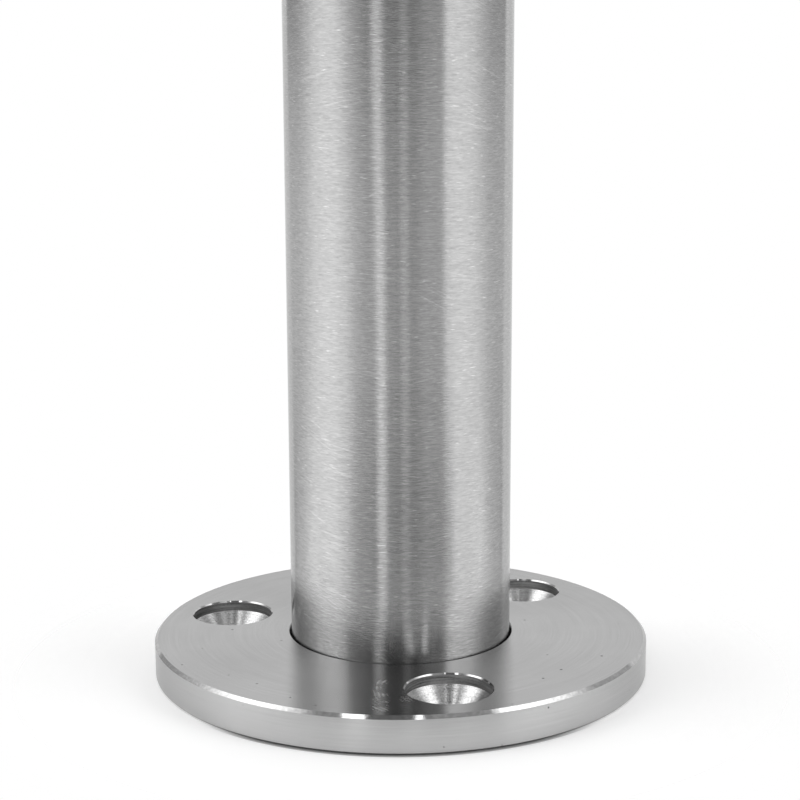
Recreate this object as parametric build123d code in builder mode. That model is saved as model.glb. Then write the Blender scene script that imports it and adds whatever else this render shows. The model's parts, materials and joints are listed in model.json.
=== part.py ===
from build123d import *

import os

# Railing end post: a round stainless steel tube welded into a turned base plate and closed by a
# push-in cap. Millimetres. The origin is the centre of the base plate's underside, +Z runs up the
# tube's axis, and seen from -Y one screw hole lies in front of the tube and two lie beside it.

# Post tube, a standard railing tube
post_height = 1000.0  # base plate's underside to the cap's top face
tube_diameter = 42.4
tube_wall = 2.0
tube_recess = 2.2  # the tube ends this far above the base plate's underside
tube_edge_break = 0.25  # deburred edges of the sawn ends

# Base plate, turned from round bar
plate_thickness = 7.0
plate_rim_width = 12.5  # from the screw circle out to the plate's edge
plate_top_chamfer = 0.6
plate_bottom_chamfer = 0.4
bore_clearance = 0.35  # radial gap between the tube and the plate's bore
bore_edge_break = 0.15

# Screw holes for M8 countersunk screws: a straight recess over the cone, then the shank's hole
screw_count = 3
screw_circle_diameter = 70.0
first_screw_angle = 44.0
screw_hole_diameter = 9.0
head_recess_diameter = 15.5
head_recess_depth = 2.0
head_cone_angle = 90.0
head_recess_edge_break = 0.25

# Weld under the tube, between its end and the wall of the bore
weld_setback = 0.4  # from the base plate's underside up to the bead
weld_margin = 0.35  # from the tube's bore out to the bead
weld_bulge = 0.25  # crown of the bead over a straight line between its toes

# Push-in end cap, turned
cap_flange_thickness = 3.0
cap_edge_radius = 1.0
cap_seat_edge_break = 0.25
spigot_length = 14.0
spigot_clearance = 0.08  # radial, filled with adhesive
spigot_wall = 2.5
spigot_lead_in = 0.8

tube_radius = tube_diameter / 2
tube_bore_radius = tube_radius - tube_wall
tube_top = post_height - cap_flange_thickness
plate_diameter = screw_circle_diameter + 2 * plate_rim_width
plate_bore_radius = tube_radius + bore_clearance


# Base plate: a flat ring with a centre bore for the tube
with BuildPart() as base_plate:
    with BuildSketch():
        Circle(plate_diameter / 2)
        Circle(plate_bore_radius, mode=Mode.SUBTRACT)
    extrude(amount=plate_thickness)
    rims = base_plate.edges().filter_by(GeomType.CIRCLE).group_by(Axis.Z)
    bore_rim, top_rim = rims[-1].sort_by(SortBy.RADIUS)
    bottom_rim = rims[0].sort_by(SortBy.RADIUS)[-1]
    chamfer(top_rim, plate_top_chamfer)
    chamfer(bottom_rim, plate_bottom_chamfer)
    chamfer(bore_rim, bore_edge_break)

    # Each screw hole is sunk from the floor of its head recess, which opens upwards
    with Locations(Plane.XY.offset(plate_thickness - head_recess_depth)):
        with PolarLocations(screw_circle_diameter / 2, screw_count, first_screw_angle):
            CounterSinkHole(
                radius=screw_hole_diameter / 2,
                counter_sink_radius=head_recess_diameter / 2,
                counter_sink_angle=head_cone_angle,
            )
    top_circles = base_plate.edges().filter_by(GeomType.CIRCLE).group_by(Axis.Z)[-1]
    head_recess_rims = top_circles.group_by(SortBy.RADIUS)[0]
    chamfer(head_recess_rims, head_recess_edge_break)


# Post tube: it passes down through the bore and stops short of the underside
with BuildPart() as post_tube:
    with BuildSketch(Plane.XY.offset(tube_recess)):
        Circle(tube_radius)
        Circle(tube_bore_radius, mode=Mode.SUBTRACT)
    extrude(amount=tube_top - tube_recess)
    end_rims = post_tube.edges().filter_by(GeomType.CIRCLE).group_by(Axis.Z)
    bottom_bore_rim = end_rims[0].sort_by(SortBy.RADIUS)[0]
    chamfer([*end_rims[-1], bottom_bore_rim], tube_edge_break)


# Weld seam: a crowned ring bead that fills the corner between the bore's wall and the tube's end
with BuildPart() as weld_seam:
    with BuildSketch(Plane.XZ):
        with BuildLine():
            inner_toe = (tube_bore_radius + weld_margin, tube_recess)
            corner = (plate_bore_radius, tube_recess)
            outer_toe = (plate_bore_radius, weld_setback)
            Polyline(inner_toe, corner, outer_toe)
            SagittaArc(outer_toe, inner_toe, weld_bulge)
        make_face()
    revolve(axis=Axis.Z)


# End cap: its flange lies on the tube's end, flush with the tube, and its hollow spigot is inside
with BuildPart() as end_cap:
    spigot_radius = tube_bore_radius - spigot_clearance
    with BuildSketch(Plane.XY.offset(tube_top)):
        Circle(tube_radius)
    extrude(amount=cap_flange_thickness)
    with BuildSketch(Plane.XY.offset(tube_top)):
        Circle(spigot_radius)
        Circle(spigot_radius - spigot_wall, mode=Mode.SUBTRACT)
    extrude(amount=-spigot_length)

    cap_rims = end_cap.edges().filter_by(GeomType.CIRCLE)
    flange_rims = cap_rims.group_by(SortBy.RADIUS)[-1].sort_by(Axis.Z)
    lead_in_rim = cap_rims.group_by(Axis.Z)[0].sort_by(SortBy.RADIUS)[-1]
    fillet(flange_rims[-1], cap_edge_radius)
    chamfer(flange_rims[0], cap_seat_edge_break)
    chamfer(lead_in_rim, spigot_lead_in)


os.makedirs("parts", exist_ok=True)

base_plate.part.label = "base_plate"
export_step(base_plate.part, "parts/base_plate.step")

post_tube.part.label = "post_tube"
export_step(post_tube.part, "parts/post_tube.step")

weld_seam.part.label = "weld_seam"
export_step(weld_seam.part, "parts/weld_seam.step")

end_cap.part.label = "end_cap"
export_step(end_cap.part, "parts/end_cap.step")
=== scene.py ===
import json
import math

import bmesh
import bpy
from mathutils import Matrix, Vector


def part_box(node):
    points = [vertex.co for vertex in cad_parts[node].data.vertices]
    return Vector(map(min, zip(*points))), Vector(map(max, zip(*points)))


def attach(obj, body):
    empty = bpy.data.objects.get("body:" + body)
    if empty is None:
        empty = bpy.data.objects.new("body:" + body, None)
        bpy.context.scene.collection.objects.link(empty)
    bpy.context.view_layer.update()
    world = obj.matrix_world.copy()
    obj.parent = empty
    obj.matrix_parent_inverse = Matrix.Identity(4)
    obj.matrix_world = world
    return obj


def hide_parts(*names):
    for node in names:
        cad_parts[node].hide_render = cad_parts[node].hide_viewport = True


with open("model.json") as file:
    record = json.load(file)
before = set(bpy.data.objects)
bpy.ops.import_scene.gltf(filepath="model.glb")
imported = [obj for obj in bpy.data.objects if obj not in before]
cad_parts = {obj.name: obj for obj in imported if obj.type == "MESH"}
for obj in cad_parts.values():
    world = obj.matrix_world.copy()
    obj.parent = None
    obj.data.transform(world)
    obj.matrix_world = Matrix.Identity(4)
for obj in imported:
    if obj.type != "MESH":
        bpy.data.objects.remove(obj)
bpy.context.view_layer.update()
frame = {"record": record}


# Camera: it looks down at the post's foot from arm's length, with one screw hole in front of the
# tube and one on each side, and its frame cuts the tube off about 140 mm above the floor.
mm = 0.001
plate_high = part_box("base_plate")[1]
camera_distance = 320 * mm
camera_height = 105.6 * mm  # above the plate's top face
camera_side = 0.3 * mm
camera_tilt = math.radians(10.7)
camera_roll = math.radians(0.22)
camera_lens = 77.0
camera_sensor = 36

camera_data = bpy.data.cameras.new("camera")
camera_data.sensor_width = camera_sensor
camera_data.lens = camera_lens
camera = bpy.data.objects.new("camera", camera_data)
camera.location = (camera_side, -camera_distance, plate_high.z + camera_height)
camera.rotation_euler = (math.pi / 2 - camera_tilt, camera_roll, 0)
bpy.context.scene.collection.objects.link(camera)
bpy.context.scene.camera = camera
bpy.context.scene.view_settings.view_transform = "Standard"


# Studio light: a tall soft box on each side, a flag beside the left one, narrow strip lights by the
# camera and overhead, and pale cards low down, in a dark room with pale upper corners. A white
# backdrop stands behind the post. Seen directly, all of it is plain white.
class Level:
    """A number, colour or vector that varies over a surface. Sums and products add Math nodes."""

    def __init__(self, nodes, socket):
        self.nodes = nodes
        self.socket = socket

    def output(self, name):
        """Another output of the node that this level comes from."""
        return Level(self.nodes, self.socket.node.outputs[name])

    def __add__(self, other):
        return self.nodes.math("ADD", self, other)

    def __radd__(self, other):
        return self.nodes.math("ADD", other, self)

    def __sub__(self, other):
        return self.nodes.math("SUBTRACT", self, other)

    def __rsub__(self, other):
        return self.nodes.math("SUBTRACT", other, self)

    def __mul__(self, other):
        return self.nodes.math("MULTIPLY", self, other)

    def __rmul__(self, other):
        return self.nodes.math("MULTIPLY", other, self)

    def __truediv__(self, other):
        return self.nodes.math("DIVIDE", self, other)

    def __pow__(self, other):
        return self.nodes.math("POWER", self, other)

    def __abs__(self):
        return self.nodes.math("ABSOLUTE", self)

    def at_most(self, other):
        return self.nodes.math("MINIMUM", self, other)

    def at_least(self, other):
        return self.nodes.math("MAXIMUM", self, other)


class Nodes:
    """The node tree of one material or of the world."""

    def __init__(self, tree):
        self.tree = tree
        tree.nodes.clear()

    def node(self, kind, settings, inputs, output=0):
        """Adds a node, makes its settings, then links a level or sets a plain value at each input."""
        made = self.tree.nodes.new(kind)
        for name, value in settings.items():
            setattr(made, name, value)
        for name, value in inputs.items():
            if isinstance(value, Level):
                self.tree.links.new(value.socket, made.inputs[name])
            else:
                made.inputs[name].default_value = value
        return Level(self, made.outputs[output]) if made.outputs else None

    def math(self, operation, *values):
        return self.node("ShaderNodeMath", {"operation": operation}, dict(enumerate(values)))

    def smooth(self, level, low, high):
        """0 below low and 1 above high, or the other way round where low is above high."""
        return self.node(
            "ShaderNodeMapRange",
            {"interpolation_type": "SMOOTHSTEP"},
            {"Value": level, "From Min": min(low, high), "From Max": max(low, high),
             "To Min": float(low > high), "To Max": float(low < high)},
        )

    def axes(self, vector):
        split = self.node("ShaderNodeSeparateXYZ", {}, {0: vector})
        return [split.output(axis) for axis in range(3)]

    def join(self, x, y, z):
        return self.node("ShaderNodeCombineXYZ", {}, {0: x, 1: y, 2: z})


world = bpy.data.worlds.new("studio")
world.use_nodes = True
bpy.context.scene.world = world
studio = Nodes(world.node_tree)
east, north, up = studio.axes(studio.node("ShaderNodeTexCoord", {}, {}, "Generated"))
bearing = studio.math("ARCTAN2", east, 0 - north)


def between(start, end, start_blur, end_blur, turn=0):
    """1 between two bearings, counted from the camera's side to the right. The bearings and the blurs
    of the two ends are in degrees, and turn, which moves both ends, is in radians."""
    middle = math.radians((start + end) / 2)
    half = math.radians(end - start) / 2
    start_soft = math.radians(start_blur) / 2
    end_soft = math.radians(end_blur) / 2
    off = studio.math("WRAP", bearing - middle - turn, math.pi, -math.pi)
    return (studio.smooth(off, -half - start_soft, -half + start_soft)
            * studio.smooth(off, half + end_soft, half - end_soft))


# Bands of height, where up is 1 overhead, 0 at the height of the eye and -1 underfoot
ceiling = studio.smooth(up, 0.96, 0.99)
overhead = studio.smooth(up, 0.45, 0.80)
raised = studio.smooth(up, 0.10, 0.35)
below = studio.smooth(up, 0.09, -0.03)
half_way_down = studio.smooth(up, -0.04, -0.16) * studio.smooth(up, -0.30, -0.20)
lowered = studio.smooth(up, -0.18, -0.34)
near_ground = studio.smooth(up, -0.15, -0.32)

# The room: dark behind the camera, and paler at its sides and in its upper corners. Its floor is pale
# far off and dark underfoot
darkest = 0.03
left_wall = between(-150, -34, 20, 14)
right_wall = between(22, 150, 20, 20)
left_corner = between(-165, -112, 10, 24)
right_corner = between(98, 150, 20, 10)
high_corners = 0.30 * (left_corner + right_corner) * studio.smooth(up, 0.10, 0.20) * (1 - overhead)
room = darkest + 0.20 * left_wall + 0.24 * right_wall + high_corners
ground = 0.76 + 0.06 * (left_wall + right_wall) + 0.10 * left_corner - 0.74 * near_ground

# The two soft boxes, which spread towards the top and the bottom, and the flag beside the left one
left_box = between(-101, -52, 48, 34, turn=-0.12 * raised - 0.26 * overhead - 0.12 * lowered)
right_box = between(45.5, 87, 8, 48, turn=0.05 * raised + 0.31 * overhead + 0.22 * lowered)
left_light = 0.68
right_light = 0.58 + 0.16 * raised - 0.16 * overhead
flag = between(-57, -25, 8, 8) * raised * (1 - overhead)
boxes = (left_light * left_box + right_light * right_box) * (1 - flag)
boxes = boxes * (1 + 1.1 * raised + 1.3 * overhead + lowered - 0.18 * below)

# The pale cards low down in front, and the light that fills in from both sides near the ground
middle_cards = 0.14 * between(-20, -3, 6, 6) + 0.14 * between(-20, 30, 6, 10)
low_cards = 0.42 * between(-58, -26, 14, 8) + middle_cards + 0.20 * between(24, 54, 16, 8)
low_fill = (between(-140, -96, 16, 20) + between(84, 132, 20, 16)) * studio.smooth(up, -0.22, -0.29)
cards = low_cards * half_way_down + 0.75 * low_fill

# The strip lights: a bright and a faint one by the camera, and two high up
strip_light = between(-26, -16.5, 6, 8, turn=-0.35 * up.at_least(-0.16).at_most(0.08))
strip_end = 0.20 * studio.smooth(up, 0, 0.05)
faint_strip = between(0.5, 8.5, 5, 3, turn=0.13 * abs(up))
faint_end = studio.smooth(up, -0.26, -0.30)
high_strips = (between(-44.5, -28.5, 2, 1) + between(12, 18.2, 1, 1)) * studio.smooth(up, 0.82, 0.90)
strips = strip_light * (0.62 - strip_end + 0.76 * raised)
strips = strips + faint_strip * (0.28 * below * (1 - faint_end) + 0.34 * raised)
strips = strips * (1 - overhead) + 2.3 * high_strips

backdrop = between(133, 217, 4, 4) * studio.smooth(up, 0.90, 0.75)
around = room * (1 - below) + ground * below + boxes + cards + strips + 0.16 * overhead
around = around * (1 - ceiling) + 0.5 * ceiling
glow = around * (1 - backdrop) + backdrop

# Seen directly or through glass it is all plain white, and so is the backdrop where metal mirrors it
seen = studio.node("ShaderNodeLightPath", {}, {}, "Is Camera Ray")
through_glass = seen.output("Is Transmission Ray")
mirrored = seen.output("Is Glossy Ray")
plain = seen.at_least(through_glass).at_least(mirrored * backdrop)
strength = glow * (1 - plain) + plain
light = studio.node("ShaderNodeBackground", {}, {"Color": (1, 1, 1, 1), "Strength": strength})
studio.node("ShaderNodeOutputWorld", {}, {"Surface": light})


# Floor: a plain white sheet under the post's foot. It glows a little, so that it renders white with
# the post's soft shadow on it, and a painted shadow line of darker grey runs along the front of the
# plate's foot. It fades into the white all round and can be seen through from below.
sheet_radius = 86 * mm
sheet_fade = 33 * mm
# The dark line along the plate's foot is a painted shadow
shade_width = 1.0 * mm  # of the dark line along the plate's foot, and of its darkest part
shade_core = 0.2 * mm
shade_ends = -30 * mm  # where the line starts along Y, and where it is full
shade_full = -42 * mm
paper_grey = (0.8, 0.8, 0.8, 1)
shade_grey = (0.45, 0.45, 0.45, 1)
paper_glow_strength = 0.33
smallest_reach = 0.01 * mm


def from_axis(x, y):
    """The distance from an upright axis. It is never quite 0, so that it can be divided by."""
    return (x * x + y * y + smallest_reach * smallest_reach) ** 0.5


def new_finish(name):
    """A material without nodes, its node tree, and where a point of its surface lies."""
    finish = bpy.data.materials.new(name)
    finish.use_nodes = True
    nodes = Nodes(finish.node_tree)
    return finish, nodes, nodes.node("ShaderNodeTexCoord", {}, {}, "Object")


floor_mesh = bpy.data.meshes.new("floor")
corners = [(-sheet_radius, -sheet_radius, 0), (sheet_radius, -sheet_radius, 0),
           (sheet_radius, sheet_radius, 0), (-sheet_radius, sheet_radius, 0)]
floor_mesh.from_pydata(corners, [], [(0, 1, 2, 3)])
floor = bpy.data.objects.new("floor", floor_mesh)
bpy.context.scene.collection.objects.link(floor)

floor_finish, sheet, place = new_finish("white_sheet")
x, y = sheet.axes(place)[:2]
reach = from_axis(x, y)
beyond = sheet.smooth(reach, sheet_radius - sheet_fade, sheet_radius)
# Painted shadow: a darker grey paper is mixed in as a thin line along the front of the plate's foot
at_the_foot = sheet.smooth(abs(reach - plate_high.x), shade_width, shade_core)
painted_shadow_line = at_the_foot * sheet.smooth(y, shade_ends, shade_full)
turned_away = sheet.node("ShaderNodeNewGeometry", {}, {}, "Backfacing")
paper = sheet.node("ShaderNodeBsdfDiffuse", {}, {"Color": paper_grey})
paper_glow = sheet.node("ShaderNodeEmission", {}, {"Color": (1, 1, 1, 1), "Strength": paper_glow_strength})
lit_paper = sheet.node("ShaderNodeAddShader", {}, {0: paper, 1: paper_glow})
shade = sheet.node("ShaderNodeBsdfDiffuse", {}, {"Color": shade_grey})
shaded_paper = sheet.node("ShaderNodeMixShader", {}, {0: painted_shadow_line, 1: lit_paper, 2: shade})
clear = sheet.node("ShaderNodeBsdfTransparent", {}, {})
unseen = beyond.at_least(turned_away)
surface = sheet.node("ShaderNodeMixShader", {}, {0: unseen, 1: shaded_paper, 2: clear})
sheet.node("ShaderNodeOutputMaterial", {}, {"Surface": surface})
floor_mesh.materials.append(floor_finish)


# Base plate: a disc turned from stainless round bar, bored for the tube and drilled and countersunk
# for three screws. Its faces keep the fine rings of the lathe tool, and its edges are broken.
mounts = {mount["name"]: mount for mount in frame["record"]["mounts"]}
screws = mounts["floor_screws"]["dims"]
tube_low, tube_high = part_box("post_tube")
centre = Vector((0, 0, 0))

plate_radius = plate_high.x
plate_top = plate_high.z
top_chamfer = 0.6 * mm
bottom_chamfer = 0.4 * mm
bore_radius = tube_high.x + 0.35 * mm
bore_edge = 0.15 * mm
recess_radius = 7.75 * mm
recess_depth = 2.0 * mm
recess_edge = 0.25 * mm
recess_edge_wander = 0.03 * mm  # in two sets of waves, because the edges were broken by hand
slow_waves = 7
quick_waves = 17
shank_radius = screws["hole_r_mm"] * mm
cone_bottom = plate_top - recess_depth - (recess_radius - shank_radius)
first_screw = math.radians(44)
rim_steps = 360
bore_steps = 240
hole_steps = 120
turned_crease = 20  # degrees
on_faces, in_holes, on_chamfers = range(3)  # the plate's three finishes


def ring(form, centre, radius, height, steps):
    """A circle of vertices about an upright axis."""
    turns = [2 * math.pi * step / steps for step in range(steps)]
    return [form.verts.new((centre.x + radius * math.cos(turn), centre.y + radius * math.sin(turn), height))
            for turn in turns]


def turned_wall(form, centre, profile, steps, finishes=None):
    """The surface between circles of the radii and heights in profile, from its first to its last.
    Each band between two circles has its own finish, or all have the first one."""
    rings = [ring(form, centre, radius, height, steps) for radius, height in profile]
    for band, (lower, upper) in enumerate(zip(rings, rings[1:])):
        for step in range(steps):
            after = (step + 1) % steps
            face = form.faces.new((lower[step], lower[after], upper[after], upper[step]))
            face.material_index = finishes[band] if finishes else 0
    return rings


def flat_face(form, loops):
    """A level face inside the first circle of vertices and outside the others."""
    edges = []
    for loop in loops:
        edges += [form.edges.get((loop[step - 1], loop[step])) for step in range(len(loop))]
    bmesh.ops.triangle_fill(form, use_beauty=True, edges=edges)


def finished(form, name, crease):
    """The object made from a form, riding on the post, smooth where it bends by less than crease."""
    bmesh.ops.recalc_face_normals(form, faces=form.faces)
    mesh = bpy.data.meshes.new(name)
    form.to_mesh(mesh)
    form.free()
    mesh.shade_smooth()
    mesh.set_sharp_from_angle(angle=math.radians(crease))
    piece = bpy.data.objects.new(name, mesh)
    bpy.context.scene.collection.objects.link(piece)
    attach(piece, "root")
    return piece


plate_form = bmesh.new()
rim = turned_wall(plate_form, centre, [
    (plate_radius - bottom_chamfer, 0),
    (plate_radius, bottom_chamfer),
    (plate_radius, plate_top - top_chamfer),
    (plate_radius - top_chamfer, plate_top),
], rim_steps, finishes=(on_faces, on_faces, on_chamfers))
bore = turned_wall(plate_form, centre, [
    (bore_radius, 0),
    (bore_radius, plate_top - bore_edge),
    (bore_radius + bore_edge, plate_top),
], bore_steps, finishes=(on_faces, on_chamfers))
screw_axes = []
screw_holes = []
for screw in range(screws["count"]):
    turn = first_screw + 2 * math.pi * screw / screws["count"]
    axis = Vector((math.cos(turn), math.sin(turn), 0)) * screws["pcd_mm"] / 2 * mm
    hole = turned_wall(plate_form, axis, [
        (shank_radius, 0),
        (shank_radius, cone_bottom),
        (recess_radius, plate_top - recess_depth),
        (recess_radius, plate_top - recess_edge),
        (recess_radius + recess_edge, plate_top),
    ], hole_steps, finishes=(in_holes, in_holes, in_holes, on_chamfers))
    for vertex in hole[-1]:
        out = vertex.co - axis
        angle = math.atan2(out.y, out.x)
        waves = math.sin(slow_waves * angle + screw) + math.sin(quick_waves * angle + 2 * screw)
        out.z = 0
        vertex.co += out.normalized() * recess_edge_wander * waves / 2
    screw_axes.append(axis)
    screw_holes.append(hole)
flat_face(plate_form, [rim[-1], bore[-1]] + [hole[-1] for hole in screw_holes])
flat_face(plate_form, [rim[0], bore[0]] + [hole[0] for hole in screw_holes])
base_plate = finished(plate_form, "turned_base_plate", turned_crease)
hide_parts("base_plate")

dull_steel = (0.12, 0.12, 0.12, 1)
bright_steel = (0.85, 0.85, 0.85, 1)
grazed_steel = (0.75, 0.75, 0.75, 1)  # how it mirrors at a grazing angle
quarter_turn = 0.25


def steel(nodes, brightness, roughness, bump, grain_blur=0.0):
    """Bare steel between a dull and a bright grey. grain_blur spreads its shine across the grain."""
    # Inputs 6 and 7 of a Mix node are its two colours, and output 2 is what they make
    colour = nodes.node("ShaderNodeMix", {"data_type": "RGBA"}, {
        "Factor": brightness, 6: dull_steel, 7: bright_steel}, 2)
    metal = nodes.node("ShaderNodeBsdfPrincipled", {}, {
        "Base Color": colour, "Metallic": 1, "Roughness": roughness, "Normal": bump,
        "Specular Tint": grazed_steel, "Anisotropic": grain_blur, "Anisotropic Rotation": quarter_turn})
    nodes.node("ShaderNodeOutputMaterial", {}, {"Surface": metal})


def noise(nodes, place, frequencies=(1, 1, 1), detail=2.0, seed=0.0):
    """Clouds whose frequencies along X, Y and Z are given in bumps a metre."""
    stretched = nodes.node("ShaderNodeVectorMath", {"operation": "MULTIPLY"}, {0: place, 1: frequencies})
    moved = nodes.node("ShaderNodeVectorMath", {"operation": "ADD"}, {0: stretched, 1: (seed, seed, seed)})
    return nodes.node("ShaderNodeTexNoise", {}, {"Vector": moved, "Scale": 1, "Detail": detail}, "Fac")


def bumped(nodes, height, distance):
    """Fine relief, in which a height of 1 stands out by the distance."""
    return nodes.node("ShaderNodeBump", {}, {"Height": height, "Distance": distance, "Strength": 1})


def along_rings(nodes, place, outwards, around, upwards=0):
    """Where to read a noise so that it lies in rings, as the marks of a lathe tool do. It has outwards
    bumps a metre away from the axis, upwards bumps a metre up the sides, and a few along each ring,
    more as around grows."""
    x, y, z = nodes.axes(place)
    reach = from_axis(x, y)
    return nodes.join(reach * outwards, x / reach * around, y / reach * around + z * upwards)


# The plate's faces: concentric lathe marks, a few pits, scuffs swept round the front screw hole that are
# lightened partly as a painted reflection, and painted shade on the foot's chamfer
plate_finish, plate, place = new_finish("turned_steel_faces")
x, y, z = plate.axes(place)
on_top = plate.smooth(z, plate_top - 0.1 * mm, plate_top)
marks = noise(plate, along_rings(plate, place, 4.0 / mm, 3, upwards=4.0 / mm), detail=3)
feed = noise(plate, along_rings(plate, place, 0.5 / mm, 1.5), detail=1, seed=9)
clouds = noise(plate, place, (90, 90, 90), detail=3)

pit_size = plate.node("ShaderNodeTexVoronoi", {}, {"Vector": place, "Scale": 1.1 / mm}, "Distance")
pit_pick, pit_depth = plate.axes(pit_size.output("Color"))[:2]
picked = plate.smooth(pit_pick, 0.985, 0.990)
pits = plate.smooth(pit_size - 0.10 * on_top, 0.24, 0.14) * picked * pit_depth

front_axis = min(screw_axes, key=lambda axis: axis.y)
from_hole_x = x - front_axis.x
from_hole_y = y - front_axis.y
drift = noise(plate, place, (180, 180, 180), detail=1, seed=8)
strokes = plate.math("COSINE", from_axis(from_hole_x, from_hole_y) * 8 / mm + 11 * drift)
strokes = plate.smooth(strokes, -0.1, 0.8)
patches = plate.smooth(noise(plate, place, (380, 380, 380), detail=2, seed=6), 0.42, 0.58)


def within(level, low, high, blur=0.6 * mm):
    """1 between two distances, and fading over twice the blur at each."""
    return (plate.smooth(level, low - blur, low + blur)
            * plate.smooth(level, high + blur, high - blur))


# A long patch of scuffs lies left of the front hole, and a short faint one between it and the hole
# Both lie where the two strip lights are mirrored, and their lightened colour is partly a painted
# reflection of those strips
bright_strip_scuff_patch = within(from_hole_x, -13.0 * mm, -10.8 * mm) * within(from_hole_y, -11 * mm, 4 * mm)
faint_strip_scuff_patch = within(from_hole_x, -8.5 * mm, -6.2 * mm) * within(from_hole_y, -8.5 * mm, -4 * mm)
scuffs_and_strip_sheen = patches * (0.25 + 0.75 * strokes) * (bright_strip_scuff_patch + 0.5 * faint_strip_scuff_patch) * on_top
# The foot's bottom chamfer is darkened as painted shade, where the plate meets the floor
painted_shade_on_foot_edge = plate.smooth(z, bottom_chamfer + 0.1 * mm, bottom_chamfer)

brightness = 0.54 + 0.12 * (marks - 0.5) + 0.05 * (feed - 0.5) + 0.10 * (clouds - 0.5) - 0.04 * on_top
# The scuffs' lightening is partly a painted reflection of the strip lights above them
brightness = brightness + 0.46 * scuffs_and_strip_sheen - 0.6 * pits - 0.15 * painted_shade_on_foot_edge
height = marks + 0.6 * scuffs_and_strip_sheen - 2.0 * pits
steel(plate, brightness, 0.23 + 0.25 * scuffs_and_strip_sheen, bumped(plate, height, 0.004 * mm), grain_blur=0.97)
base_plate.data.materials.append(plate_finish)

# The screw holes: a dull drilled recess over a brighter countersunk cone with the cutter's chatter
hole_finish, cut, place = new_finish("countersunk_steel")
z = cut.axes(place)[2]
recess_floor = plate_top - recess_depth
recess_top = plate_top - recess_edge
wall = cut.smooth(z, recess_floor - 0.05 * mm, recess_floor)
wall = wall * cut.smooth(z, recess_top + 0.03 * mm, recess_top)
chatter = noise(cut, place, (3600, 3600, 3600), detail=2)
cutter_rings = noise(cut, place, (200, 200, 3500), detail=2)
brightness = 0.45 + 0.7 * (chatter - 0.5) * (1 - 0.5 * wall) - 0.12 * wall
brightness = brightness + (0.35 + 0.6 * wall) * (cutter_rings - 0.5)
steel(cut, brightness, 0.22 + 0.26 * wall, bumped(cut, chatter + 0.5 * cutter_rings, 0.005 * mm))
base_plate.data.materials.append(hole_finish)

# The chamfers: bright narrow cuts that mirror the room, with a little chatter
edge_finish, edge, place = new_finish("bright_cut_edges")
nicks = noise(edge, place, (1500, 1500, 1500), detail=3)
brightness = 0.52 + 0.5 * (nicks - 0.5)
steel(edge, brightness, 0.07, bumped(edge, nicks, 0.003 * mm))
base_plate.data.materials.append(edge_finish)


# Post tube: welded stainless tube, belt-brushed round its axis to a satin finish. It stands in the
# plate's bore with a thin gap round it, and its sawn ends are deburred.
tube_radius = tube_high.x
tube_wall = 2.0 * mm
tube_bore_radius = tube_radius - tube_wall
tube_edge = 0.25 * mm
tube_steps = 256

tube_form = bmesh.new()
turned_wall(tube_form, centre, [
    (tube_bore_radius + tube_edge, tube_low.z),
    (tube_radius, tube_low.z),
    (tube_radius, tube_high.z - tube_edge),
    (tube_radius - tube_edge, tube_high.z),
    (tube_bore_radius + tube_edge, tube_high.z),
    (tube_bore_radius, tube_high.z - tube_edge),
    (tube_bore_radius, tube_low.z + tube_edge),
    (tube_bore_radius + tube_edge, tube_low.z),
], tube_steps)
bmesh.ops.remove_doubles(tube_form, verts=tube_form.verts, dist=0.001 * mm)
post_tube = finished(tube_form, "brushed_post_tube", turned_crease)
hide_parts("post_tube")

tube_finish, tube, place = new_finish("brushed_steel_tube")
x, y, z = tube.axes(place)
grain = noise(tube, place, (400, 400, 3400), detail=2)
fine_grain = noise(tube, place, (900, 900, 5600), detail=2, seed=3)
clouds = noise(tube, place, (60, 60, 140), detail=3, seed=7)
flecks = tube.smooth(noise(tube, place, (560, 560, 3800), detail=1, seed=5), 0.64, 0.80)
dashes = noise(tube, place, (1700, 1700, 5000), detail=1, seed=9)


def scratches(slope, seed):
    """Fine stray scratches that climb by slope degrees to the right, in patches."""
    rise = math.radians(slope)
    across = z * math.cos(rise) - x * math.sin(rise)
    along = x * math.cos(rise) + z * math.sin(rise)
    lie = tube.join(across * 4.5 / mm, along * 0.08 / mm, y * 0.1 / mm)
    lines = tube.smooth(noise(tube, lie, detail=0, seed=seed), 0.66, 0.76)
    return lines * tube.smooth(noise(tube, place, (45, 45, 45), detail=1, seed=seed), 0.56, 0.66)


stray = scratches(-30, 11) + scratches(-12, 17) + scratches(14, 23)
brightness = 0.50 + 0.30 * (grain - 0.5) + 0.34 * (fine_grain - 0.5) + 0.06 * (clouds - 0.5)
brightness = brightness + 0.28 * flecks + 0.10 * stray
height = grain + fine_grain + 0.9 * dashes
roughness = 0.19 + 0.06 * (clouds - 0.5)
steel(tube, brightness, roughness, bumped(tube, height, 0.008 * mm), grain_blur=0.93)
post_tube.data.materials.append(tube_finish)


# Weld seam: one pass of weld laid under the tube's end to join it to the wall of the bore. The bead
# is crowned, with a ripple for each drop of metal, and stays clear of the plate's underside.
weld_low, weld_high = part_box("weld_seam")
weld_toe_in = Vector((tube_bore_radius + 0.35 * mm, weld_high.z))
weld_toe_out = Vector((bore_radius, weld_low.z))
weld_chord = weld_toe_in - weld_toe_out
weld_crown = Vector((-weld_chord.y, weld_chord.x)).normalized()
if weld_crown.x > 0:
    weld_crown = -weld_crown
weld_bulge = 0.25 * mm
ripple_depth = 0.08 * mm
ripple_count = 108
ripple_sag = 1.6  # how far a ripple's middle trails its ends, in radians of its wave
ripple_crowding = 0.5  # how far the ripples bunch up, in the same, and how often round the bead
crowded_places = 5
weld_steps = 864
weld_rows = 16
weld_crease = 35  # degrees

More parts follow.
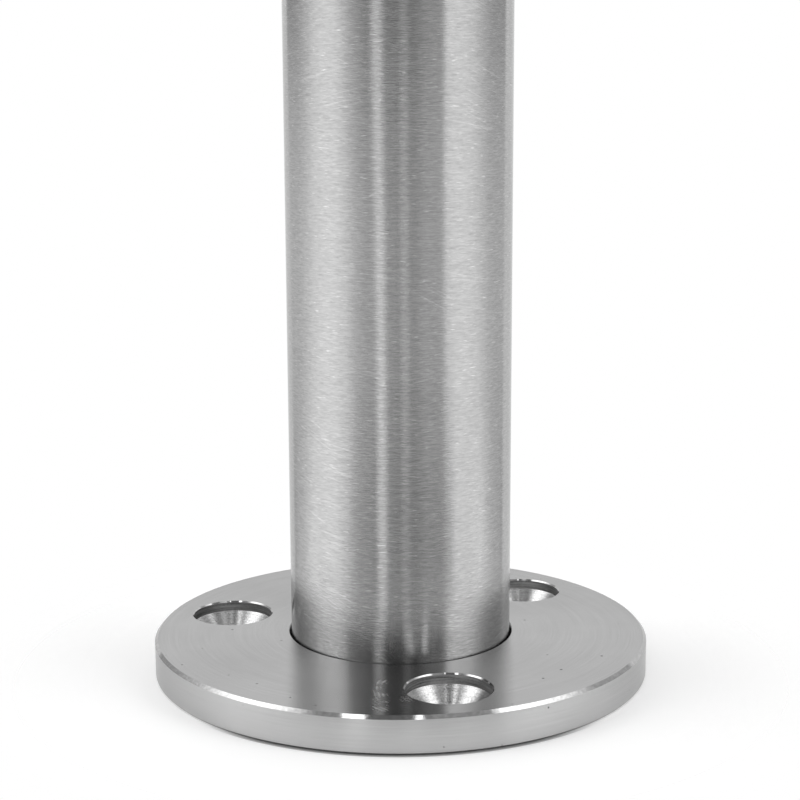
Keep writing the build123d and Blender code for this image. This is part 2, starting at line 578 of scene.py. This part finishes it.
weld_form = bmesh.new()
bead = []
for step in range(weld_steps):
    turn = 2 * math.pi * step / weld_steps
    ripples = ripple_count * turn + ripple_crowding * math.sin(crowded_places * turn)
    row = []
    for index in range(weld_rows + 1):
        share = index / weld_rows
        crowning = 4 * share * (1 - share)
        trough = 0.5 + 0.5 * math.cos(ripples + ripple_sag * crowning)
        swell = (weld_bulge - ripple_depth * trough) * crowning
        point = weld_toe_out + weld_chord * share + weld_crown * swell
        row.append(weld_form.verts.new((point.x * math.cos(turn), point.x * math.sin(turn), point.y)))
    corner = (bore_radius * math.cos(turn), bore_radius * math.sin(turn), weld_high.z)
    row.append(weld_form.verts.new(corner))
    bead.append(row)
for step, row in enumerate(bead):
    after = bead[(step + 1) % weld_steps]
    for index in range(len(row)):
        beside = (index + 1) % len(row)
        weld_form.faces.new((row[index], row[beside], after[beside], after[index]))
weld_seam = finished(weld_form, "rippled_weld_seam", weld_crease)
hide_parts("weld_seam")

weld_finish, weld, place = new_finish("weld_metal")
scale_marks = noise(weld, place, (900, 900, 900), detail=4)
heat = noise(weld, place, (120, 120, 120), detail=2, seed=2)
brightness = 0.42 + 0.5 * (scale_marks - 0.5) + 0.5 * (heat - 0.5)
steel(weld, brightness, 0.32 + 0.2 * (heat - 0.5), bumped(weld, scale_marks, 0.01 * mm))
weld_seam.data.materials.append(weld_finish)


# End cap: a plug turned from stainless bar and glued into the tube with its hollow spigot. Its
# flange is flush with the tube, with a rounded edge and the rings of the facing tool on top.
cap_low, cap_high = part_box("end_cap")
cap_radius = cap_high.x
flange_seat = tube_high.z
cap_round = 1.0 * mm
cap_seat_edge = 0.25 * mm
spigot_radius = tube_bore_radius - 0.08 * mm
spigot_inside = spigot_radius - 2.5 * mm
spigot_lead_in = 0.8 * mm
round_steps = 10

cap_profile = [
    (spigot_inside, flange_seat),
    (spigot_inside, cap_low.z),
    (spigot_radius - spigot_lead_in, cap_low.z),
    (spigot_radius, cap_low.z + spigot_lead_in),
    (spigot_radius, flange_seat),
    (cap_radius - cap_seat_edge, flange_seat),
    (cap_radius, flange_seat + cap_seat_edge),
]
for step in range(round_steps + 1):
    lean = math.pi / 2 * step / round_steps
    cap_profile.append((cap_radius - cap_round + cap_round * math.cos(lean),
                        cap_high.z - cap_round + cap_round * math.sin(lean)))
cap_form = bmesh.new()
cap_rings = turned_wall(cap_form, centre, cap_profile, tube_steps)
cap_form.faces.new(cap_rings[0])
cap_form.faces.new(cap_rings[-1])
end_cap = finished(cap_form, "turned_end_cap", turned_crease)
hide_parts("end_cap")

cap_finish, cap, place = new_finish("turned_cap_steel")
marks = noise(cap, along_rings(cap, place, 4.0 / mm, 3, upwards=4.0 / mm), detail=3)
clouds = noise(cap, place, (120, 120, 120), detail=2)
brightness = 0.48 + 0.16 * (marks - 0.5) + 0.12 * (clouds - 0.5)
steel(cap, brightness, 0.27, bumped(cap, marks, 0.005 * mm), grain_blur=0.96)
end_cap.data.materials.append(cap_finish)
